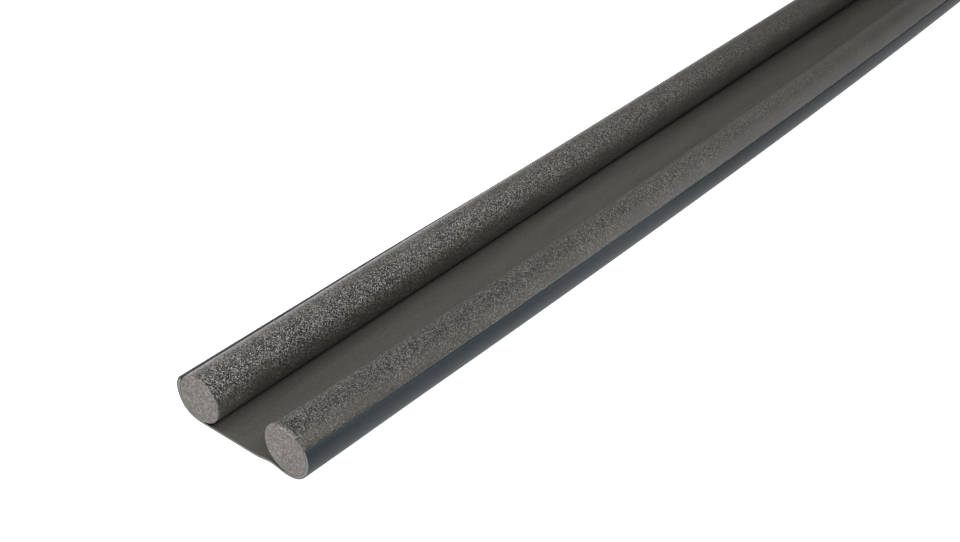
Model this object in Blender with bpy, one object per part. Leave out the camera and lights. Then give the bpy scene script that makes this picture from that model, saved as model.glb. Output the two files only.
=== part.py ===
"""Twin draught excluder: two round foam rods bonded along one thin plastic sheet.

The strip lies on the floor with its length along X. A door's bottom edge stands in the
channel between the rods. The sheet is the floor of that channel. It wraps under each rod and
up its outer side, where it ends in a free lip.
Units are metres and +Z is up. The origin is on the floor, under the middle of the strip.
"""
import math

import bmesh
import bpy

# The whole strip
LENGTH = 0.950              # along the strip, the length sold to be trimmed to a door
BOW = 0.0043                # the middle lies this far to one side of a line between the ends
BOW_CENTRED = 0.0031        # sideways shift that puts the origin under the middle of it all
STATIONS = 22               # steps along the strip, closer together at the start
STATION_CROWDING = 1.5      # above 1, the steps are shorter near the start

# The foam rods
ROD_RADIUS = 0.0140
ROD_SIDES = 32
SPACING_START = 0.0620      # between the rods' centres at the start of the strip
SPACING_WIDEST = 0.0716     # between the rods' centres where they lie furthest apart
WIDEST_AT = 0.580           # distance from the start to that place

# The sheet
SHEET_THICKNESS = 0.0012
BOND_GAP = 0.0003           # clearance between a rod and the sheet that it lies in
WRAP_STEPS = 13             # steps around the outer side of a rod
WEB_STEPS = 16              # steps across the channel
WEB_RIPPLE = 0.0016         # height of a ripple in the web beside the front rod, at the start
WEB_RIPPLE_SHARE = 0.38     # its width, as a share of the way between the rods' centres
WEB_RIPPLE_FADE = 0.070     # it dies away over this distance

# The sheet's two lips. Each row is one side of the strip:
# side of the strip (+1 is +Y), lip angle above level at the start and at the far end,
# how far the wrap stands off its rod at the start, and the distances along the strip
# up to which it stays open like that and by which it has closed.
WRAP_OPEN_BY = 0.55         # share of the wrap, from under the rod, by which it stands off
LIP_CURL_FROM = 0.8         # share of the wrap from which it bends back to the rod
LIP_CURL_IN = 0.42          # share of the opening which the lip's edge closes again
LIPS = {
    "back": {
        "side": 1, "angle_start": 25.5, "angle_far": 20.0,
        "open_start": 0.0020, "open_until": 0.130, "closed_by": 0.300,
    },
    "front": {
        "side": -1, "angle_start": 26.0, "angle_far": 19.0,
        "open_start": 0.0006, "open_until": 0.0, "closed_by": 0.090,
    },
}

SHEET_INNER_RADIUS = ROD_RADIUS + BOND_GAP
ROD_CENTRE_HEIGHT = SHEET_THICKNESS + SHEET_INNER_RADIUS

FOAM_COLOUR = (0.108, 0.101, 0.093)
FOAM_ROUGHNESS = 0.92
SHEET_COLOUR = (0.062, 0.066, 0.070)
SHEET_ROUGHNESS = 0.55


def clear_scene():
    for item in list(bpy.data.objects):
        bpy.data.objects.remove(item, do_unlink=True)


def plain_material(name, colour, roughness):
    material = bpy.data.materials.new(name)
    material.use_nodes = True
    shader = material.node_tree.nodes["Principled BSDF"]
    shader.inputs["Base Color"].default_value = (*colour, 1.0)
    shader.inputs["Roughness"].default_value = roughness
    shader.inputs["Metallic"].default_value = 0.0
    return material


def smooth(t):
    """Ease from 0 to 1 with a level start and finish."""
    t = min(max(t, 0.0), 1.0)
    return t * t * (3.0 - 2.0 * t)


def fade(distance, reach):
    """1 at the start of the strip, easing to 0 at reach."""
    return 1.0 - smooth(distance / reach)


def station_distances():
    """Distances from the start of the strip at which its section is placed."""
    return [LENGTH * (k / STATIONS) ** STATION_CROWDING for k in range(STATIONS + 1)]


def half_spacing(distance):
    """From the centreline to either rod's centre: least at the start, widest past the middle."""
    off_widest = (distance - WIDEST_AT) / WIDEST_AT
    return 0.5 * (SPACING_WIDEST - (SPACING_WIDEST - SPACING_START) * off_widest ** 2)


def place(distance, across, height):
    """A point of the section at this distance, square to the gently bowed centreline."""
    along = distance - LENGTH / 2
    bow = BOW_CENTRED - BOW * (1.0 - (2.0 * along / LENGTH) ** 2)
    heading = math.atan(8.0 * BOW * along / LENGTH ** 2)
    return (along - across * math.sin(heading), bow + across * math.cos(heading), height)


def rod_section(side, distance):
    """The circle of a rod's section, whose last point closes on its first."""
    centre = side * half_spacing(distance)
    turns = [2.0 * math.pi * (k % ROD_SIDES) / ROD_SIDES for k in range(ROD_SIDES + 1)]
    return [
        place(
            distance,
            centre + ROD_RADIUS * math.cos(turn),
            ROD_CENTRE_HEIGHT + ROD_RADIUS * math.sin(turn),
        )
        for turn in turns
    ]


def wrap_section(lip, distance):
    """The sheet's inner face around a rod, from under the rod up to the edge of the lip."""
    far = distance / LENGTH
    lip_angle = lip["angle_start"] + (lip["angle_far"] - lip["angle_start"]) * far
    closes_over = lip["closed_by"] - lip["open_until"]
    opening = lip["open_start"] * fade(distance - lip["open_until"], closes_over)
    points = []
    for k in range(WRAP_STEPS + 1):
        share = k / WRAP_STEPS
        angle = math.radians(-90.0 + (90.0 + lip_angle) * share)
        curl_in = LIP_CURL_IN * smooth((share - LIP_CURL_FROM) / (1.0 - LIP_CURL_FROM))
        stand_off = smooth(share / WRAP_OPEN_BY) - curl_in
        radius = SHEET_INNER_RADIUS + opening * stand_off
        across = lip["side"] * (half_spacing(distance) + radius * math.cos(angle))
        points.append(place(distance, across, ROD_CENTRE_HEIGHT + radius * math.sin(angle)))
    return points


def web_section(distance):
    """The sheet's inner face between the rods, from the front rod to the back one."""
    points = []
    ripple_height = WEB_RIPPLE * fade(distance, WEB_RIPPLE_FADE)
    for k in range(1, WEB_STEPS):
        share = k / WEB_STEPS
        across = half_spacing(distance) * (2.0 * share - 1.0)
        through_ripple = min(share / WEB_RIPPLE_SHARE, 1.0)
        lift = ripple_height * math.sin(math.pi * through_ripple) ** 2
        points.append(place(distance, across, SHEET_THICKNESS + lift))
    return points


def sheet_section(distance):
    """The sheet's inner face across the whole strip, from the front lip to the back lip."""
    front = wrap_section(LIPS["front"], distance)[::-1]
    back = wrap_section(LIPS["back"], distance)
    return front + web_section(distance) + back


def new_object(name, bm, material):
    mesh = bpy.data.meshes.new(name)
    bm.to_mesh(mesh)
    bm.free()
    mesh.materials.append(material)
    item = bpy.data.objects.new(name, mesh)
    bpy.context.scene.collection.objects.link(item)
    return item


def bent_grid(sections):
    """A grid of faces bent to the strip's shape, with a row of points on each section."""
    bm = bmesh.new()
    rows = len(sections) - 1
    columns = len(sections[0]) - 1
    bmesh.ops.create_grid(bm, x_segments=columns, y_segments=rows, size=0.5)
    for vert in bm.verts:
        row = round((vert.co.y + 0.5) * rows)
        column = round((vert.co.x + 0.5) * columns)
        vert.co = sections[row][column]
    return bm


def shade_round(item):
    item.data.shade_smooth()
    item.data.set_sharp_from_angle(angle=math.radians(40.0))


def foam_rod(name, side, material):
    """A round rod: a grid rolled into a tube, welded along its seam, with flat cut ends."""
    bm = bent_grid([rod_section(side, distance) for distance in station_distances()])
    bmesh.ops.remove_doubles(bm, verts=bm.verts, dist=1e-6)
    bmesh.ops.holes_fill(bm, edges=bm.edges, sides=ROD_SIDES)
    bmesh.ops.recalc_face_normals(bm, faces=bm.faces)
    shade_round(new_object(name, bm, material))


def carrier_sheet(name, material):
    """The sheet's inner face, a grid bent to the section, thickened away from the rods."""
    bm = bent_grid([sheet_section(distance) for distance in station_distances()])
    item = new_object(name, bm, material)
    shade_round(item)
    shell = item.modifiers.new("thickness", "SOLIDIFY")
    shell.thickness = SHEET_THICKNESS
    shell.offset = 1.0
    shell.use_even_offset = True
    shell.use_rim = True


clear_scene()
foam = plain_material("closed_cell_foam", FOAM_COLOUR, FOAM_ROUGHNESS)
plastic = plain_material("plastic_sheet", SHEET_COLOUR, SHEET_ROUGHNESS)
foam_rod("foam_rod_back", LIPS["back"]["side"], foam)
foam_rod("foam_rod_front", LIPS["front"]["side"], foam)
carrier_sheet("carrier_sheet", plastic)
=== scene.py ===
import math

import bmesh
import bpy
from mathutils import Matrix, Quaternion, Vector, noise


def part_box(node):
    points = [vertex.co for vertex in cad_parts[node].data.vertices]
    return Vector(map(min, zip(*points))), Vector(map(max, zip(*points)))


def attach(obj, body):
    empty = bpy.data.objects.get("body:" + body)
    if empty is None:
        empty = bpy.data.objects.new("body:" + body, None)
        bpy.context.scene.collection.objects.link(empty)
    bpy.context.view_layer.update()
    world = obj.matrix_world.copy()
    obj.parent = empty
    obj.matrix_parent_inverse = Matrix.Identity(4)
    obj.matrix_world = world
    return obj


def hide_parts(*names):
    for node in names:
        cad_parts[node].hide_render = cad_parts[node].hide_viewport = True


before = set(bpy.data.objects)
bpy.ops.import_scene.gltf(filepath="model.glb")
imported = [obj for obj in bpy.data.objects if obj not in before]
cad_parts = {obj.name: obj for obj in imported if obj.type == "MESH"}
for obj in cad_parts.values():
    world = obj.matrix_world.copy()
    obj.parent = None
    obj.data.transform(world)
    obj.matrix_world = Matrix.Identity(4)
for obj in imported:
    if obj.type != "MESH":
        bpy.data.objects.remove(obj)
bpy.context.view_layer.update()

# ---------------------------------------------------------------------------
# The strip's sizes in metres, as the solids have them
# ---------------------------------------------------------------------------

MM = 0.001

rod_low, rod_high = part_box("foam_rod_back")
ROD_RADIUS = (rod_high.z - rod_low.z) / 2
ROD_CENTRE_HEIGHT = (rod_high.z + rod_low.z) / 2
SHEET_THICKNESS = 1.2 * MM
BOND_GAP = 0.3 * MM
SHEET_INNER_RADIUS = ROD_RADIUS + BOND_GAP
LENGTH = 950 * MM

BOW = 4.3 * MM               # the middle lies this far to one side of a line between the ends
BOW_CENTRED = 3.1 * MM       # sideways shift that puts the origin under the middle of it all
SPACING_START = 62.0 * MM    # between the rods' centres at the start of the strip
SPACING_WIDEST = 71.6 * MM   # between the rods' centres where they lie furthest apart
WIDEST_AT = 580 * MM

WEB_RIPPLE = 1.6 * MM        # height of the ripple in the web beside the front rod
WEB_RIPPLE_SHARE = 0.38      # its width, as a share of the way between the rods' centres
WEB_RIPPLE_FADE = 70 * MM    # it dies away over this distance

WRAP_OPEN_BY = 0.55          # share of a wrap, from under the rod, by which it stands off
LIP_CURL_FROM = 0.8          # share of a wrap from which it bends back to the rod
LIP_CURL_IN = 0.42           # share of the opening which the lip's edge closes again
LIP_WAVE = 60 * MM           # a lip's edge is cut a little unevenly, over this distance
LIP_UNEVEN = 0.9             # and by this many degrees
LIP_NOISE_LINE = 3.0         # each lip follows its own line through the noise, this far out

# Each table is one side of the strip: a lip of the sheet, and the foam rod that it holds.
# Angles on a rod are in degrees, from its outer side over its top. What makes the skin paler
# is a share of the foam's own tone, and below 0 it makes the skin darker. This paleness is
# painted light and shade, standing in for how the lamps and the floor light each part of a rod.
BACK = {
    "side": 1,                                  # +1 is +Y
    "angle_start": 25.5, "angle_far": 20.0,     # of the lip above level, at either end
    "open_start": 2.0 * MM,                     # how far the wrap stands off its rod
    "open_until": 130 * MM,                     # it stays open like that up to here
    "closed_by": 300 * MM,
    "painted_light": 0.0,                             # painted light: how much paler the lip's outside edge is
    "bead": 0.3 * MM, "bead_far": 0.3 * MM,     # how far the foam stands out over that edge
    "flare": 0.0,                               # how far the rod's cut end is flared
    "burr_highlight": (98.0, 172.0),                      # where that end's edge is fuzzy from the knife, with a painted highlight
    "rough_at": 119.0, "rough_reach": 60.0,     # the rough band's middle, and its reach
    "rough_start": 1.0, "rough_far": 0.17,      # how rough it is, near and far
    "top_at": 120.0, "top_reach": 34.0,         # the top band's middle, and its reach
    "pale_top": 0.26, "pale_top_far": 0.0,      # painted light (below 0, painted shade): how much paler it is, near and far
    "inner_from": 138.0,                        # where the inner side begins
    "pale_inner": -0.15,                        # painted light (below 0, painted shade): how much paler that is, near
    "pale_inner_far": 0.0,                      # and far
    "pale_outer": 0.0,                          # painted light: how much paler the outer side is
    "pale_far": 0.1,                            # painted light: how much paler the whole skin is far away
    "edge_shade": 0.0,                           # painted shade: how much darker it is beside the lip's edge
}
FRONT = {
    "side": -1,
    "angle_start": 26.0, "angle_far": 19.0,
    "open_start": 0.6 * MM,
    "open_until": 0.0,
    "closed_by": 90 * MM,
    "painted_light": 0.9,
    "bead": 1.5 * MM, "bead_far": 1.0 * MM,
    "flare": 0.9 * MM,
    "burr_highlight": (56.0, 98.0),
    "rough_at": 86.0, "rough_reach": 54.0,
    "rough_start": 0.7, "rough_far": 0.05,
    "top_at": 78.0, "top_reach": 58.0,
    "pale_top": -0.34, "pale_top_far": -0.17,
    "inner_from": 100.0,
    "pale_inner": 0.2,
    "pale_inner_far": 0.0,
    "pale_outer": 0.65,
    "pale_far": 0.3,
    "edge_shade": 0.45,
}

# ---------------------------------------------------------------------------
# The shape of the strip: a section carried along a gently bowed line
# ---------------------------------------------------------------------------


def smooth(t):
    """Ease from 0 to 1 with a level start and finish."""
    t = min(max(t, 0.0), 1.0)
    return t * t * (3.0 - 2.0 * t)


def fade(distance, reach):
    """1 at the start of a stretch, easing to 0 at its reach."""
    return 1.0 - smooth(distance / reach)


def between(near, far, share):
    """From the near value towards the far one, by this share of the way."""
    return near + (far - near) * share


def evenly(start, stop, steps):
    """The points that cut a stretch into equal steps, both ends included."""
    return [between(start, stop, k / steps) for k in range(steps + 1)]


def half_spacing(distance):
    """From the centreline to either rod's centre."""
    off_widest = (distance - WIDEST_AT) / WIDEST_AT
    return 0.5 * (SPACING_WIDEST - (SPACING_WIDEST - SPACING_START) * off_widest ** 2)


def place(distance, across, height):
    """A point of the section at this distance, square to the bowed centreline."""
    along = distance - LENGTH / 2
    bow = BOW_CENTRED - BOW * (1.0 - (2.0 * along / LENGTH) ** 2)
    heading = math.atan(8.0 * BOW * along / LENGTH ** 2)
    return Vector((along - across * math.sin(heading), bow + across * math.cos(heading), height))


def off_rod(lip, point):
    """A point's distance along the strip, and its offset there from a rod's centre."""
    distance = point.x + LENGTH / 2
    centre = place(distance, lip["side"] * half_spacing(distance), ROD_CENTRE_HEIGHT)
    return distance, Vector((0.0, point.y - centre.y, point.z - centre.z))


def angle_on_rod(lip, outward):
    """The angle in degrees at which an offset from a rod's centre points, -180 to 180."""
    return math.degrees(math.atan2(outward.z, lip["side"] * outward.y))


def lip_angle(lip, distance):
    """How far above level the sheet's edge ends on a rod's outer side, a little uneven."""
    uneven = noise.noise(Vector((distance / LIP_WAVE, LIP_NOISE_LINE * lip["side"], 0.0)))
    return between(lip["angle_start"], lip["angle_far"], distance / LENGTH) + LIP_UNEVEN * uneven


def wrap_opening(lip, distance):
    """How far a side's wrap stands off its rod at this distance."""
    closes_over = lip["closed_by"] - lip["open_until"]
    return lip["open_start"] * fade(distance - lip["open_until"], closes_over)


# ---------------------------------------------------------------------------
# Meshes and pieces
# ---------------------------------------------------------------------------


def bent_grid(rows, marks=None):
    """A grid of faces bent to shape, with a row of its points on each given row.

    Each mark is a value for every point, kept as an attribute of that name for the material.
    """
    bm = bmesh.new()
    last_row = len(rows) - 1
    last_column = len(rows[0]) - 1
    bmesh.ops.create_grid(bm, x_segments=last_column, y_segments=last_row, size=0.5)
    layers = {name: bm.verts.layers.float.new(name) for name in marks or {}}
    for vert in bm.verts:
        row = round((vert.co.y + 0.5) * last_row)
        column = round((vert.co.x + 0.5) * last_column)
        vert.co = rows[row][column]
        for name, layer in layers.items():
            vert[layer] = marks[name][row][column]
    bm.normal_update()
    return bm


def new_piece(name, bm, materials):
    """A smoothly shaded object at the origin, with the finishes its faces name by number."""
    mesh = bpy.data.meshes.new(name)
    bm.to_mesh(mesh)
    bm.free()
    mesh.shade_smooth()
    for material in materials:
        mesh.materials.append(material)
    piece = bpy.data.objects.new(name, mesh)
    bpy.context.scene.collection.objects.link(piece)
    return piece


def linear(hex_colour):
    """An sRGB hex colour as linear red, green, blue and 1."""
    channels = [int(hex_colour[k:k + 2], 16) / 255 for k in (1, 3, 5)]
    return [c / 12.92 if c <= 0.04045 else ((c + 0.055) / 1.055) ** 2.4 for c in channels] + [1.0]


def add_node(tree, kind, settings=None, inputs=None):
    """Adds a shader node. An input is a plain value, or another node's socket to link."""
    node = tree.nodes.new(kind)
    for key, value in (settings or {}).items():
        setattr(node, key, value)
    for key, value in (inputs or {}).items():
        if isinstance(value, bpy.types.NodeSocket):
            tree.links.new(value, node.inputs[key])
        else:
            node.inputs[key].default_value = value
    return node


def new_material(name):
    """A material as it comes, with its node tree and its Principled shader."""
    material = bpy.data.materials.new(name)
    material.use_nodes = True
    return material, material.node_tree, material.node_tree.nodes["Principled BSDF"]


# ---------------------------------------------------------------------------
# The foam: extruded closed-cell polyethylene, as skin, knife-cut, and torn, with a painted
# highlight
# ---------------------------------------------------------------------------

SHADES_AT = (0.3, 0.62, 0.8)  # where dark, middling and glinting cells lie among them all; the glinting ones are painted glints
CREVICE_FROM = 0.35          # share of a cell's size from its middle, where its dark rim of painted shade begins
CREVICE_TO = 0.75            # and where that is darkest
CREVICE_SHADE = 0.6           # painted shade takes away this share of the foam's tone there
DRIFT_SIZE = 25 * MM         # the foam's tone drifts over this distance
DRIFT_LOW = 0.93
DRIFT_HIGH = 1.07
PAINTED_LIGHT_GREY = "#464749"     # where painted light makes the skin paler, it also goes over to a cooler, more even grey
PAINTED_LIGHT_GREY_SHARE = 0.5            # by this share of the way where painted light makes it twice as pale
FOAM_IOR = 1.5


def cell_colour(tree, spot, cells, rough, colours):
    """Each cell's own shade with painted glints among them, its dark rim of painted shade, and the
    skin's tone around it, with the painted light and shade kept on the mesh.
    """
    pale = add_node(tree, "ShaderNodeAttribute", {"attribute_name": "pale"}).outputs["Fac"]
    shade = add_node(tree, "ShaderNodeValToRGB", inputs={"Fac": cells.outputs["Color"]})
    shade.color_ramp.elements.new(SHADES_AT[1])
    for element, position, colour in zip(shade.color_ramp.elements, SHADES_AT, colours):
        element.position = position
        element.color = linear(colour)
    mosaic = add_node(
        tree,
        "ShaderNodeMix",
        {"data_type": "RGBA"},
        {"Factor": rough, "A": linear(colours[1]), "B": shade.outputs["Color"]},
    )
    # Where painted light makes the skin paler, its colour also goes over to an even, cooler grey.
    grey_by_painted_light = add_node(
        tree,
        "ShaderNodeMapRange",
        inputs={"Value": pale, "To Max": PAINTED_LIGHT_GREY_SHARE},
    )
    painted_light = add_node(
        tree,
        "ShaderNodeMix",
        {"data_type": "RGBA"},
        {"Factor": grey_by_painted_light.outputs["Result"], "A": mosaic.outputs["Result"],
         "B": linear(PAINTED_LIGHT_GREY)},
    )
    # Painted shade: each cell darkens towards its walls, where the crevices between cells lie.
    crevice = add_node(
        tree,
        "ShaderNodeMapRange",
        inputs={"Value": cells.outputs["Distance"], "From Min": CREVICE_FROM,
                "From Max": CREVICE_TO, "To Max": CREVICE_SHADE},
    )
    crevice_depth = add_node(
        tree,
        "ShaderNodeMath",
        {"operation": "MULTIPLY"},
        {0: crevice.outputs["Result"], 1: rough},
    )
    lit = add_node(
        tree,
        "ShaderNodeMath",
        {"operation": "SUBTRACT"},
        {0: 1.0, 1: crevice_depth.outputs["Value"]},
    )
    drift = add_node(
        tree,
        "ShaderNodeTexNoise",
        inputs={"Vector": spot, "Scale": 1 / DRIFT_SIZE, "Detail": 2.0, "Roughness": 0.5},
    )
    drifting = add_node(
        tree,
        "ShaderNodeMapRange",
        inputs={"Value": drift.outputs["Fac"], "From Min": 0.3, "From Max": 0.7,
                "To Min": DRIFT_LOW, "To Max": DRIFT_HIGH},
    )
    # The tone adds the painted light and shade kept on the mesh to the foam's random drift.
    tone = add_node(
        tree,
        "ShaderNodeMath",
        {"operation": "ADD"},
        {0: drifting.outputs["Result"], 1: pale},
    )
    level = add_node(
        tree,
        "ShaderNodeMath",
        {"operation": "MULTIPLY"},
        {0: lit.outputs["Value"], 1: tone.outputs["Value"]},
    )
    colour = add_node(
        tree,
        "ShaderNodeVectorMath",
        {"operation": "SCALE"},
        {"Vector": painted_light.outputs["Result"], "Scale": level.outputs["Value"]},
    )
    return colour.outputs["Vector"]


def cell_facets(tree, cells, rough, tilt):
    """The surface's normal, tilted its own way on each cell."""
    own_way = add_node(
        tree,
        "ShaderNodeVectorMath",
        {"operation": "SUBTRACT"},
        {0: cells.outputs["Color"], 1: (0.5, 0.5, 0.5)},
    )
    tilt_here = add_node(
        tree,
        "ShaderNodeMath",
        {"operation": "MULTIPLY"},
        {0: rough, 1: tilt},
    )
    lean = add_node(
        tree,
        "ShaderNodeVectorMath",
        {"operation": "SCALE"},
        {"Vector": own_way.outputs["Vector"], "Scale": tilt_here.outputs["Value"]},
    )
    face_on = add_node(tree, "ShaderNodeNewGeometry").outputs["Normal"]
    tilted = add_node(
        tree,
        "ShaderNodeVectorMath",
        {"operation": "ADD"},
        {0: face_on, 1: lean.outputs["Vector"]},
    )
    facet = add_node(
        tree,
        "ShaderNodeVectorMath",
        {"operation": "NORMALIZE"},
        {0: tilted.outputs["Vector"]},
    )
    return facet.outputs["Vector"]


def closed_cell_foam(name, cell, colours, tilt, roughness):
    """Extruded closed-cell polyethylene foam in one of its finishes.

    The surface is a mosaic of tiny cell walls, each a smooth facet tilted its own way, with
    dark crevices of painted shade between them. That gives the eye a grey that is matt from
    afar and speckled from near: a few facets catch the light and glint, most face away from it,
    and the palest cells are painted glints. The skin is rough along one side of a rod and
    smoother along the other, and where painted light makes it paler it also turns cooler.
    """
    material, tree, shader = new_material(name)
    spot = add_node(tree, "ShaderNodeTexCoord").outputs["Object"]
    rough = add_node(tree, "ShaderNodeAttribute", {"attribute_name": "rough"}).outputs["Fac"]
    cells = add_node(tree, "ShaderNodeTexVoronoi", inputs={"Vector": spot, "Scale": 1 / cell})
    colour = cell_colour(tree, spot, cells, rough, colours)
    tree.links.new(colour, shader.inputs["Base Color"])
    tree.links.new(cell_facets(tree, cells, rough, tilt), shader.inputs["Normal"])
    shader.inputs["Roughness"].default_value = roughness
    shader.inputs["IOR"].default_value = FOAM_IOR
    return material


# ---------------------------------------------------------------------------
# The sheet's finishes: calendered soft PVC, and its cut end
# ---------------------------------------------------------------------------

STREAK_WIDTH = 9 * MM        # the streaks lie along the strip
STREAK_SHAPE = 0.12          # a streak's width as a share of its length
STREAKS_AT = (0.3, 0.7)      # levels of the noise that have the one colour and the other
MOTTLE_SIZE = 1.7 * MM
MOTTLE_LOW = 0.88
MOTTLE_HIGH = 1.12
GRAIN_SIZE = 0.6 * MM        # the fine bumps that the rollers leave on the sheet
GRAIN_DEPTH = 0.05 * MM
GRAIN_STRENGTH = 0.5
FILM_AT = (0.55, 0.65)       # share of the thickness over which the core turns to the film


def sheet_colour(tree, spot, colours):
    """Streaks between two colours, under a fine mottle and the painted light and shade kept on the
    mesh.
    """
    drawn_out = add_node(
        tree,
        "ShaderNodeMapping",
        inputs={"Vector": spot, "Scale": (STREAK_SHAPE, 1.0, 1.0)},
    )
    streaks = add_node(
        tree,
        "ShaderNodeTexNoise",
        inputs={"Vector": drawn_out.outputs["Vector"], "Scale": 1 / STREAK_WIDTH, "Detail": 3.0},
    )
    shade = add_node(tree, "ShaderNodeValToRGB", inputs={"Fac": streaks.outputs["Fac"]})
    for element, position, colour in zip(shade.color_ramp.elements, STREAKS_AT, colours):
        element.position = position
        element.color = linear(colour)
    mottle = add_node(
        tree,
        "ShaderNodeTexNoise",
        inputs={"Vector": spot, "Scale": 1 / MOTTLE_SIZE, "Detail": 1.0},
    )
    mottled = add_node(
        tree,
        "ShaderNodeMapRange",
        inputs={"Value": mottle.outputs["Fac"], "From Min": 0.25, "From Max": 0.75,
                "To Min": MOTTLE_LOW, "To Max": MOTTLE_HIGH},
    )
    tone = add_node(tree, "ShaderNodeAttribute", {"attribute_name": "level"})
    level = add_node(
        tree,
        "ShaderNodeMath",
        {"operation": "MULTIPLY"},
        {0: mottled.outputs["Result"], 1: tone.outputs["Fac"]},
    )
    colour = add_node(
        tree,
        "ShaderNodeVectorMath",
        {"operation": "SCALE"},
        {"Vector": shade.outputs["Color"], "Scale": level.outputs["Value"]},
    )
    return colour.outputs["Vector"]


def sheet_material(name, colours, roughness, shine):
    """Calendered soft plastic sheet: an even colour that drifts a little, with a fine grain.

    It gives the eye a flat, quiet surface beside the speckled foam: faint streaks along the
    strip, a fine mottle, and the painted light and shade kept on the mesh: painted shade in the
    creases by the rods, painted light beside the back rod and along a lip's edge, and painted
    shade on the outside far along the strip.
    """
    material, tree, shader = new_material(name)
    spot = add_node(tree, "ShaderNodeTexCoord").outputs["Object"]
    grain = add_node(
        tree,
        "ShaderNodeTexNoise",
        inputs={"Vector": spot, "Scale": 1 / GRAIN_SIZE, "Detail": 2.0, "Roughness": 0.55},
    )
    bump = add_node(
        tree,
        "ShaderNodeBump",
        inputs={"Strength": GRAIN_STRENGTH, "Distance": GRAIN_DEPTH,
                "Height": grain.outputs["Fac"]},
    )
    tree.links.new(sheet_colour(tree, spot, colours), shader.inputs["Base Color"])
    tree.links.new(bump.outputs["Normal"], shader.inputs["Normal"])
    shader.inputs["Roughness"].default_value = roughness
    shader.inputs["Specular IOR Level"].default_value = shine
    return material


def sheet_cut_end(name, core, film):
    """The soft plastic sheet's sheared end, matt and unpolished.

    It gives the eye a light core, with the dark outer film as a thin line along it.
    """
    material, tree, shader = new_material(name)
    depth = add_node(tree, "ShaderNodeAttribute", {"attribute_name": "depth"})
    layers = add_node(tree, "ShaderNodeValToRGB", inputs={"Fac": depth.outputs["Fac"]})
    for element, position, colour in zip(layers.color_ramp.elements, FILM_AT, (core, film)):
        element.position = position
        element.color = linear(colour)
    tree.links.new(layers.outputs["Color"], shader.inputs["Base Color"])
    shader.inputs["Roughness"].default_value = 0.7
    shader.inputs["IOR"].default_value = 1.5
    return material


# ---------------------------------------------------------------------------
# The skin of a foam rod: how rough it is, its painted light and shade, and how far it stands out
# ---------------------------------------------------------------------------

SMOOTH_SKIN = 0.25           # roughness of the smoothest skin, as a share of the roughest
SMOOTHEST_FROM = 650 * MM    # from here on, a rod's skin has its far roughness
PATCH_SIZE = 18 * MM         # the roughness drifts over this distance
PATCH_SHARE = 0.25           # by this much to either side

FAR_FROM = 110 * MM          # from here on the skin turns to its far tone, over the next distance
FAR_OVER = 300 * MM
PALE_INNER_REACH = 24.0      # degrees over which the inner side's tone comes in
PALE_OUTER_REACH = 50.0      # the same for the outer side, from the top band's middle
OUTER_AT_START = 0.4         # share of the outer side's tone that is there from the start
OUTER_FROM = 60 * MM         # from here on it grows to the whole, over the next distance
OUTER_OVER = 180 * MM
EDGE_SHADE_REACH = 13.0       # degrees; along the strip it dies away as the outer side's tone grows
WEB_SHADE = 0.45           # painted shade darkens the rods' lowest part, beside the web, by this share
WEB_SHADE_FROM = 210.0     # degrees
WEB_SHADE_REACH = 12.0

DOME_SIZE = 1.9 * MM         # the largest cells stand out as small domes
DOME_HEIGHT = 0.14 * MM
DOME_RIM = 0.5               # share of a dome's size over which it rises
LUMP_SIZE = 14 * MM
LUMP_HEIGHT = 0.08 * MM
CLEAR_OF_EDGE = 0.2          # degrees above the sheet's edge, where the foam is still flush
OUT_OVER_EDGE = 0.7          # where it stands out furthest over that edge
EDGE_BAND = 22.0             # where it is back to its plain round
BEAD_SIZE = 1.6 * MM         # the bead of foam along that edge is ragged at this size
BEAD_RAGGED = 0.3            # by this share of its height
FOLLOWS_FROM = 40 * MM       # past the cut end, the foam bulges out towards the opened lip
FOLLOWS_OVER = 70 * MM
FOLLOWS_BY = 0.6             # by this share of the way


def roughness_here(lip, around, distance, point):
    """How rough the skin is here, from 0 to 1: each rod has one rough side."""
    band = fade(abs(around - lip["rough_at"]), lip["rough_reach"])
    patches = PATCH_SHARE * noise.noise(point / PATCH_SIZE)
    along = between(lip["rough_start"], lip["rough_far"], min(distance / SMOOTHEST_FROM, 1.0))
    return min(max((between(SMOOTH_SKIN, 1.0, band) + patches) * along, 0.0), 1.0)


def far_share(distance):
    """0 over the first part of the strip, going over to 1 in its far part."""
    return smooth((distance - FAR_FROM) / FAR_OVER)


def painted_light_here(lip, around, edge, distance):
    """How much paler (or, below 0, darker) the skin is here than the foam's own tone: painted light
    and shade.
    """
    far = far_share(distance)
    grown = smooth((distance - OUTER_FROM) / OUTER_OVER)
    top = fade(abs(around - lip["top_at"]), lip["top_reach"])
    inner = smooth((around - lip["inner_from"]) / PALE_INNER_REACH)
    outer = smooth((lip["top_at"] - around) / PALE_OUTER_REACH)
    shade_by_web = smooth((around - WEB_SHADE_FROM) / WEB_SHADE_REACH)
    paler = lip["pale_far"] * far
    paler += between(lip["pale_top"], lip["pale_top_far"], far) * top
    paler += between(lip["pale_inner"], lip["pale_inner_far"], far) * inner
    paler += lip["pale_outer"] * between(OUTER_AT_START, 1.0, grown) * outer
    edge_shade = lip["edge_shade"] * fade(around - edge, EDGE_SHADE_REACH) * (1.0 - grown)
    return paler - edge_shade - WEB_SHADE * shade_by_web


def cell_domes(point):
    """Height from -0.5 between small domes to 0.5 on top of them."""
    nearest = noise.voronoi(point / DOME_SIZE)[0]
    return smooth((nearest[1] - nearest[0]) / DOME_RIM) - 0.5


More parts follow.
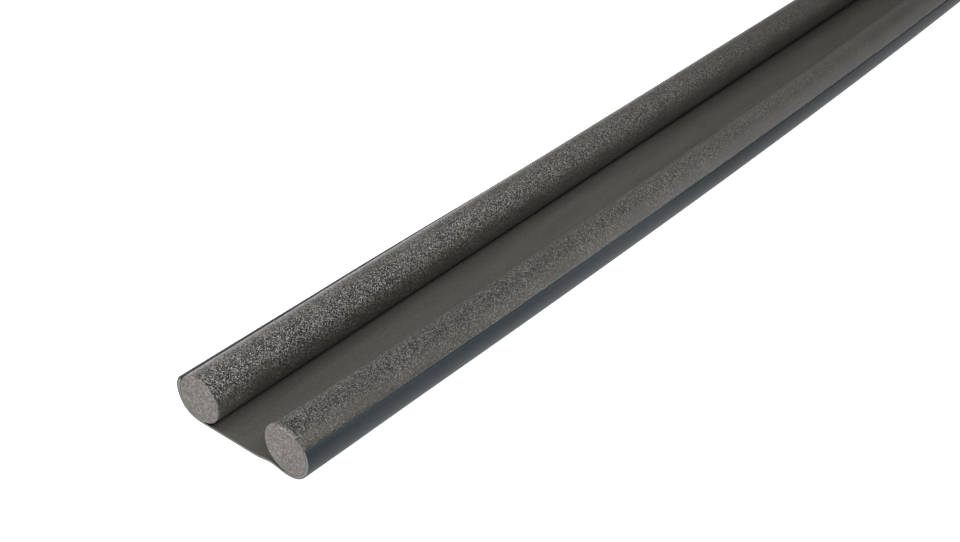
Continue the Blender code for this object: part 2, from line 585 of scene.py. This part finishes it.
def skin_height(lip, around, edge, rough, distance, point):
    """Height of the foam's skin over the plain round rod. Under the sheet it never stands out."""
    height = DOME_HEIGHT * rough * cell_domes(point) + LUMP_HEIGHT * noise.noise(point / LUMP_SIZE)
    if around < edge + (CLEAR_OF_EDGE + OUT_OVER_EDGE) / 2:
        return min(height, 0.0)
    follows = FOLLOWS_BY * smooth((distance - FOLLOWS_FROM) / FOLLOWS_OVER)
    bead = between(lip["bead"], lip["bead_far"], far_share(distance))
    bead += wrap_opening(lip, distance) * (1.0 - LIP_CURL_IN) * follows
    ragged = 1.0 + BEAD_RAGGED * noise.noise(point / BEAD_SIZE)
    return height + bead * fade(around - edge, EDGE_BAND) * ragged


# ---------------------------------------------------------------------------
# The foam rods
# ---------------------------------------------------------------------------

ROW_STEP = 0.92 * MM         # spacing of the mesh along a rod
SKIN_STEPS = 56              # steps around the part of the skin that shows
EDGE_STEPS = 16              # finer ones above the sheet's edge
HIDDEN_STEPS = 10            # steps around the part that the sheet covers
UNDER_SHEET = 2.0            # degrees below the sheet's edge, where those steps end
WRAP_START = -94.0           # degrees: just past the bottom of the rod, on its inner side
FULL_TURN = 360.0

CUT_RINGS = 15               # rings of faces on a cut end
CUT_ROUGHNESS = 0.6          # of a cut face, on the same scale as the skin's
SKIN_FROM = 11 / 12          # of the radius, from where a cut end takes on the skin's shape
CUT_EDGE_ROUND = 0.5 * MM    # the cut edge of the foam is slightly soft
CUT_EDGE_TURNS = (22.5, 45.0, 67.5)
# Where the sheet covers the rod, its cut edge bulges over the sheet's cut end instead. Each
# step of that edge is its distance along the strip and how far it lies outside the rod.
COVERED_EDGE = ((-0.15 * MM, 0.25 * MM), (-0.05 * MM, 0.30 * MM), (-0.02 * MM, 0.02 * MM))
END_SWELL = 0.2 * MM         # the foam swells onto the sheet at a cut end
END_SWELL_LENGTH = 5 * MM
FLARE_LENGTH = 5 * MM
FLARE_AT = 118.0             # degrees
FLARE_REACH = 80.0
BURR_HIGHLIGHT_ON_CUT = 0.9 * MM       # reach of the fuzzy edge and its painted highlight from the cut edge onto the cut face
BURR_HIGHLIGHT_ON_SKIN = 0.54 * MM
WELD = 0.002 * MM            # points closer than this are one
FOAM_CUT = 1                 # a rod's finishes, after its skin
FOAM_BURR_HIGHLIGHT = 2
FOAM_CUT_FACES = 0.85        # a face that looks this squarely along the strip is cut


def angles_around(edge):
    """Angles around a rod in degrees, from its outer side over its top, in a full turn."""
    covered = evenly(WRAP_START, edge - UNDER_SHEET, HIDDEN_STEPS) + [edge + CLEAR_OF_EDGE]
    over_edge = evenly(edge + OUT_OVER_EDGE, edge + EDGE_BAND, EDGE_STEPS)
    shown = evenly(edge + EDGE_BAND, WRAP_START + FULL_TURN, SKIN_STEPS)
    return covered + over_edge[:-1] + shown


def rod_stations():
    """Rows of a rod's mesh, from the middle of one cut end to the middle of the other.

    Each is (distance, radius) where the rod is open, then the same where the sheet covers it.
    """
    start = [(0.0, radius, 0.0, radius)
             for radius in evenly(0.0, ROD_RADIUS - CUT_EDGE_ROUND, CUT_RINGS)]
    for turn, (distance, beyond) in zip(CUT_EDGE_TURNS, COVERED_EDGE):
        inset = CUT_EDGE_ROUND * (1.0 - math.cos(math.radians(turn)))
        drop = CUT_EDGE_ROUND * (1.0 - math.sin(math.radians(turn)))
        start.append((inset, ROD_RADIUS - drop, distance, ROD_RADIUS + beyond))
    steps = round((LENGTH - 2 * CUT_EDGE_ROUND) / ROW_STEP)
    body = [(x, ROD_RADIUS, x, ROD_RADIUS)
            for x in evenly(CUT_EDGE_ROUND, LENGTH - CUT_EDGE_ROUND, steps)]
    end = [(LENGTH - x, radius, LENGTH - covered_x, covered_radius)
           for x, radius, covered_x, covered_radius in reversed(start)]
    return start + body + end


def rod_row(lip, station):
    """One row of a rod's mesh: its points, how rough each of them is, and its painted light and
    shade.
    """
    open_x, open_radius, covered_x, covered_radius = station
    edge = lip_angle(lip, open_x)
    flare = lip["flare"] * fade(open_x, FLARE_LENGTH)
    swell = END_SWELL * fade(min(open_x, LENGTH - open_x), END_SWELL_LENGTH)
    points = []
    roughness = []
    painted_tones = []
    for around in angles_around(edge):
        covered = around <= edge
        distance = covered_x if covered else open_x
        radius = covered_radius if covered else open_radius
        skin = smooth((radius / ROD_RADIUS - SKIN_FROM) / (1.0 - SKIN_FROM))
        turn = math.radians(around)
        outward = Vector((0.0, lip["side"] * math.cos(turn), math.sin(turn)))
        centre = lip["side"] * half_spacing(distance)
        point = place(distance, centre + radius * outward.y, ROD_CENTRE_HEIGHT + radius * outward.z)
        rough = roughness_here(lip, around, distance, point)
        height = skin_height(lip, around, edge, rough, distance, point)
        height += flare * fade(abs(around - FLARE_AT), FLARE_REACH)
        if covered:
            height += swell
        points.append(point + outward * height * skin)
        roughness.append(between(CUT_ROUGHNESS, rough, skin))
        painted_tones.append(painted_light_here(lip, around, edge, distance) * skin)
    # A row ends on the point where it began, and in the middle of a cut end it is one point.
    for column in (points, roughness, painted_tones):
        column[-1] = column[0]
    if open_radius == 0.0:
        points = [points[0]] * len(points)
    return points, roughness, painted_tones


def on_burr_highlight(lip, face):
    """Whether a face lies on the start of a rod's fuzzy knife-cut edge, with its painted highlight.
    """
    distance, outward = off_rod(lip, face.calc_center_median())
    around = angle_on_rod(lip, outward) % FULL_TURN
    at_edge = distance < BURR_HIGHLIGHT_ON_SKIN and outward.length > ROD_RADIUS - BURR_HIGHLIGHT_ON_CUT
    return at_edge and lip["burr_highlight"][0] < around < lip["burr_highlight"][1]


def foam_rod(name, node, lip, finishes):
    """A rod as a grid rolled into a tube and gathered to a point in the middle of each end."""
    rows = [rod_row(lip, station) for station in rod_stations()]
    points, roughness, painted_tones = zip(*rows)
    bm = bent_grid(points, {"rough": roughness, "pale": painted_tones})
    bmesh.ops.remove_doubles(bm, verts=bm.verts, dist=WELD)
    bmesh.ops.recalc_face_normals(bm, faces=bm.faces)
    for face in bm.faces:
        if on_burr_highlight(lip, face):
            face.material_index = FOAM_BURR_HIGHLIGHT
        elif abs(face.normal.x) > FOAM_CUT_FACES:
            face.material_index = FOAM_CUT
    rod = new_piece(name, bm, finishes)
    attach(rod, "root")
    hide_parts(node)


# ---------------------------------------------------------------------------
# The carrier sheet
# ---------------------------------------------------------------------------

SHEET_ROWS = 380             # steps of the mesh along the sheet
WRAP_STEPS = 28              # around each rod
WEB_STEPS = 36               # between the rods
WEB_WAVE = 45 * MM           # the web is faintly uneven over this distance
WEB_WAVE_HEIGHT = 0.15 * MM
THICK_END = 2.5 * MM         # the shears spread the sheet's cut end over this length
THICK_END_ROWS = 5

CREASE_FULL = 6.0 * MM       # painted shade, darkest up to here from the line where a rod touches the web
CREASE_FADE = 1.2 * MM
CREASE_SHADE = 0.22           # share of the sheet's colour that the painted shade leaves there
BACK_PAINTED_LIGHT = 0.36            # painted light: the web is this share paler beside the back rod
BACK_PAINTED_LIGHT_REACH = 34 * MM
BACK_PAINTED_LIGHT_UNTIL = 330 * MM  # up to this distance, and no longer beyond the next one
BACK_PAINTED_LIGHT_OVER = 220 * MM
LIP_PAINTED_LIGHT_REACH = 2.6 * MM   # reach of the painted light on the outside along a lip's edge
OUTSIDE_PAINTED_SHADE = 0.5         # painted shade: the outside turns this share darker from here, over the next one
OUTSIDE_PAINTED_SHADE_FROM = 270 * MM
OUTSIDE_PAINTED_SHADE_OVER = 130 * MM

SHEET_OUTSIDE = 1            # the sheet's finishes, after its inside
SHEET_CUT_END = 2
SHEET_LIP_EDGE = 3
SHEET_CUT_FACES = 0.7        # a face that looks this squarely along the strip is a cut end


def wrap_row(lip, distance):
    """The sheet's inner face around a rod, from under the rod up to the edge of the lip."""
    edge = lip_angle(lip, distance)
    opening = wrap_opening(lip, distance)
    points = []
    for share in evenly(0.0, 1.0, WRAP_STEPS):
        angle = math.radians(between(-90.0, edge, share))
        curl_in = LIP_CURL_IN * smooth((share - LIP_CURL_FROM) / (1.0 - LIP_CURL_FROM))
        stand_off = smooth(share / WRAP_OPEN_BY) - curl_in
        radius = SHEET_INNER_RADIUS + opening * stand_off
        across = lip["side"] * (half_spacing(distance) + radius * math.cos(angle))
        points.append(place(distance, across, ROD_CENTRE_HEIGHT + radius * math.sin(angle)))
    return points


def web_row(distance):
    """The sheet's inner face between the rods, from the front rod to the back one."""
    points = []
    ripple_height = WEB_RIPPLE * fade(distance, WEB_RIPPLE_FADE)
    for share in evenly(0.0, 1.0, WEB_STEPS)[1:-1]:
        point = place(distance, half_spacing(distance) * (2.0 * share - 1.0), SHEET_THICKNESS)
        through_ripple = min(share / WEB_RIPPLE_SHARE, 1.0)
        point.z += ripple_height * math.sin(math.pi * through_ripple) ** 2
        wave = 0.5 + 0.5 * noise.noise(point / WEB_WAVE)
        point.z += WEB_WAVE_HEIGHT * wave * math.sin(math.pi * share)
        points.append(point)
    return points


def sheet_row(distance):
    """The sheet's inner face across the whole strip, from the front lip to the back lip."""
    front = wrap_row(FRONT, distance)[::-1]
    return front + web_row(distance) + wrap_row(BACK, distance)


def sheet_stations():
    """Distances along the strip of the sheet's rows, close together at the thick end."""
    at_start = evenly(0.0, THICK_END, THICK_END_ROWS)
    return at_start[:-1] + evenly(THICK_END, LENGTH, SHEET_ROWS)


def thicken_end(inner):
    """Closes the opened wraps' inner face onto the rods, where the shears spread the sheet."""
    for vert in inner:
        for lip in (BACK, FRONT):
            distance, outward = off_rod(lip, vert.co)
            if lip["side"] * outward.y > 0.0:
                stand_off = outward.length - SHEET_INNER_RADIUS
                vert.co -= outward.normalized() * stand_off * fade(distance, THICK_END)


def inside_tone(point):
    """The share of the inside's colour here: painted shade darkens it in the creases, and painted
    light makes it paler beside the back rod.
    """
    distance = point.x + LENGTH / 2
    across = point.y - place(distance, 0.0, 0.0).y
    if abs(across) > half_spacing(distance):
        return 1.0
    crease = fade(half_spacing(distance) - CREASE_FULL - abs(across), CREASE_FADE)
    paler = BACK_PAINTED_LIGHT * fade(half_spacing(distance) - across, BACK_PAINTED_LIGHT_REACH)
    paler *= fade(distance - BACK_PAINTED_LIGHT_UNTIL, BACK_PAINTED_LIGHT_OVER)
    return between(1.0, CREASE_SHADE, crease) * (1.0 + paler)


def outside_tone(point):
    """The share of the outside's colour here: painted light makes it paler along a lip's edge, and
    painted shade darkens it far along the strip.
    """
    lip = BACK if point.y > place(point.x + LENGTH / 2, 0.0, 0.0).y else FRONT
    distance, outward = off_rod(lip, point)
    below_edge = math.radians(lip_angle(lip, distance) - angle_on_rod(lip, outward))
    painted_light = fade(max(below_edge, 0.0) * SHEET_INNER_RADIUS, LIP_PAINTED_LIGHT_REACH)
    darker = OUTSIDE_PAINTED_SHADE * smooth((distance - OUTSIDE_PAINTED_SHADE_FROM) / OUTSIDE_PAINTED_SHADE_OVER)
    return 1.0 + lip["painted_light"] * painted_light - darker


def carrier_sheet(finishes):
    """One bent grid, thickened away from the rods, with its own finish on each face."""
    bm = bent_grid([sheet_row(distance) for distance in sheet_stations()])
    depth = bm.verts.layers.float.new("depth")
    level = bm.verts.layers.float.new("level")
    inner = set(bm.verts)
    bmesh.ops.solidify(bm, geom=bm.faces[:], thickness=-SHEET_THICKNESS)
    thicken_end(inner)
    for vert in bm.verts:
        vert[depth] = 0.0 if vert in inner else 1.0
        vert[level] = inside_tone(vert.co) if vert in inner else outside_tone(vert.co)
    for face in bm.faces:
        on_inner = sum(vert in inner for vert in face.verts)
        if on_inner == 0:
            face.material_index = SHEET_OUTSIDE
        elif on_inner < len(face.verts):
            looks_along = abs(face.normal.x) > SHEET_CUT_FACES
            face.material_index = SHEET_CUT_END if looks_along else SHEET_LIP_EDGE
    bmesh.ops.recalc_face_normals(bm, faces=bm.faces)
    sheet = new_piece("sheet", bm, finishes)
    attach(sheet, "root")
    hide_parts("carrier_sheet")


def draught_excluder():
    """The two foam rods and the sheet that carries them."""
    foam = [
        closed_cell_foam(
            "polyethylene_foam_skin", cell=0.42 * MM,
            # the skin's palest cells are painted glints, besides the real gloss of its tilted
            # facets
            colours=("#33302C", "#4A4741", "#E6E3DD"), tilt=1.9, roughness=0.4,
        ),
        closed_cell_foam(
            "polyethylene_foam_cut", cell=0.95 * MM,
            colours=("#625E5A", "#79746E", "#99938E"), tilt=0.75, roughness=0.7,
        ),
        # fuzz along the cut edge, with pale colours that are partly a painted highlight
        closed_cell_foam(
            "polyethylene_foam_burr_highlight", cell=0.6 * MM,
            colours=("#5A5752", "#8E8B85", "#EAE8E3"), tilt=1.3, roughness=0.5,
        ),
    ]
    foam_rod("rod_back", "foam_rod_back", BACK, foam)
    foam_rod("rod_front", "foam_rod_front", FRONT, foam)
    carrier_sheet([
        sheet_material(
            "soft_pvc_sheet_inside_matt", ("#55534D", "#5E5C55"), roughness=0.8, shine=0.35
        ),
        sheet_material(
            "soft_pvc_sheet_outside_satin", ("#20292D", "#293034"), roughness=0.5, shine=0.15
        ),
        sheet_cut_end("soft_pvc_sheet_cut_end", core="#8A8A89", film="#45494D"),
        sheet_material(
            "soft_pvc_sheet_lip_edge", ("#545559", "#5A5B5F"), roughness=0.6, shine=0.25
        ),
    ])


# ---------------------------------------------------------------------------
# Floor, light and camera
# ---------------------------------------------------------------------------

FLOOR_HALF_SIDE = 60.0       # metres, so that low views don't see its edge
FLOOR_DROP = 0.05 * MM       # it lies this far under the strip
TENT_STRENGTH = 0.21

LAMP_SIZE = 0.8
LAMP_DISTANCE = 1.1          # from the lit place, near the start of the strip
LIT_PLACE = Vector((-0.45, 0.0, 0.0))
LAMPS = {                    # angle over the strip in degrees from behind it, and watts
    "behind_low": (20.0, 4.06),
    "behind_high": (70.0, 4.28),
    "in_front_high": (110.0, 3.34),
    "in_front": (135.0, 3.41),
}

CAMERA_PLACE = (-0.80879, -0.41099, 0.43667)
CAMERA_LOOKS_ALONG = (0.66027, 0.52365, -0.53836)
CAMERA_ROLL = 0.126          # degrees
CAMERA_LENS = 50.72          # millimetres, on a sensor 36 mm wide


def studio_floor():
    """A plain pale floor that stays white around the strip."""
    bm = bmesh.new()
    bmesh.ops.create_grid(bm, x_segments=1, y_segments=1, size=FLOOR_HALF_SIDE)
    material, _, shader = new_material("pale_studio_floor")
    shader.inputs["Base Color"].default_value = linear("#F4F4F4")
    shader.inputs["Roughness"].default_value = 0.9
    shader.inputs["Emission Color"].default_value = (1.0, 1.0, 1.0, 1.0)
    shader.inputs["Emission Strength"].default_value = 1.0
    floor = new_piece("floor", bm, [material])
    floor.location.z = -FLOOR_DROP


def white_tent():
    """Soft white light from all around."""
    world = bpy.data.worlds.new("soft_white_tent")
    world.use_nodes = True
    background = world.node_tree.nodes["Background"]
    background.inputs["Color"].default_value = (1.0, 1.0, 1.0, 1.0)
    background.inputs["Strength"].default_value = TENT_STRENGTH
    bpy.context.scene.world = world


def soft_light(name, angle, power):
    """A wide soft box, across the strip at this angle, that faces the lit place."""
    light = bpy.data.lights.new(name, "AREA")
    light.size = LAMP_SIZE
    light.energy = power
    turn = math.radians(angle)
    towards_lamp = Vector((0.0, math.cos(turn), math.sin(turn)))
    lamp = bpy.data.objects.new(name, light)
    lamp.location = LIT_PLACE + LAMP_DISTANCE * towards_lamp
    lamp.rotation_euler = (-towards_lamp).to_track_quat("-Z", "Y").to_euler()
    bpy.context.scene.collection.objects.link(lamp)


def camera():
    """The photograph's view of the near end."""
    data = bpy.data.cameras.new("camera")
    data.sensor_width = 36.0
    data.lens = CAMERA_LENS
    data.clip_start = 0.01
    item = bpy.data.objects.new("camera", data)
    item.location = CAMERA_PLACE
    level = Vector(CAMERA_LOOKS_ALONG).to_track_quat("-Z", "Y")
    roll = Quaternion((0.0, 0.0, 1.0), math.radians(CAMERA_ROLL))
    item.rotation_euler = (level @ roll).to_euler()
    bpy.context.scene.collection.objects.link(item)
    bpy.context.scene.camera = item


draught_excluder()
studio_floor()
white_tent()
for lamp_name, (lamp_angle, lamp_power) in LAMPS.items():
    soft_light(lamp_name, lamp_angle, lamp_power)
camera()
bpy.context.scene.view_settings.view_transform = "Standard"
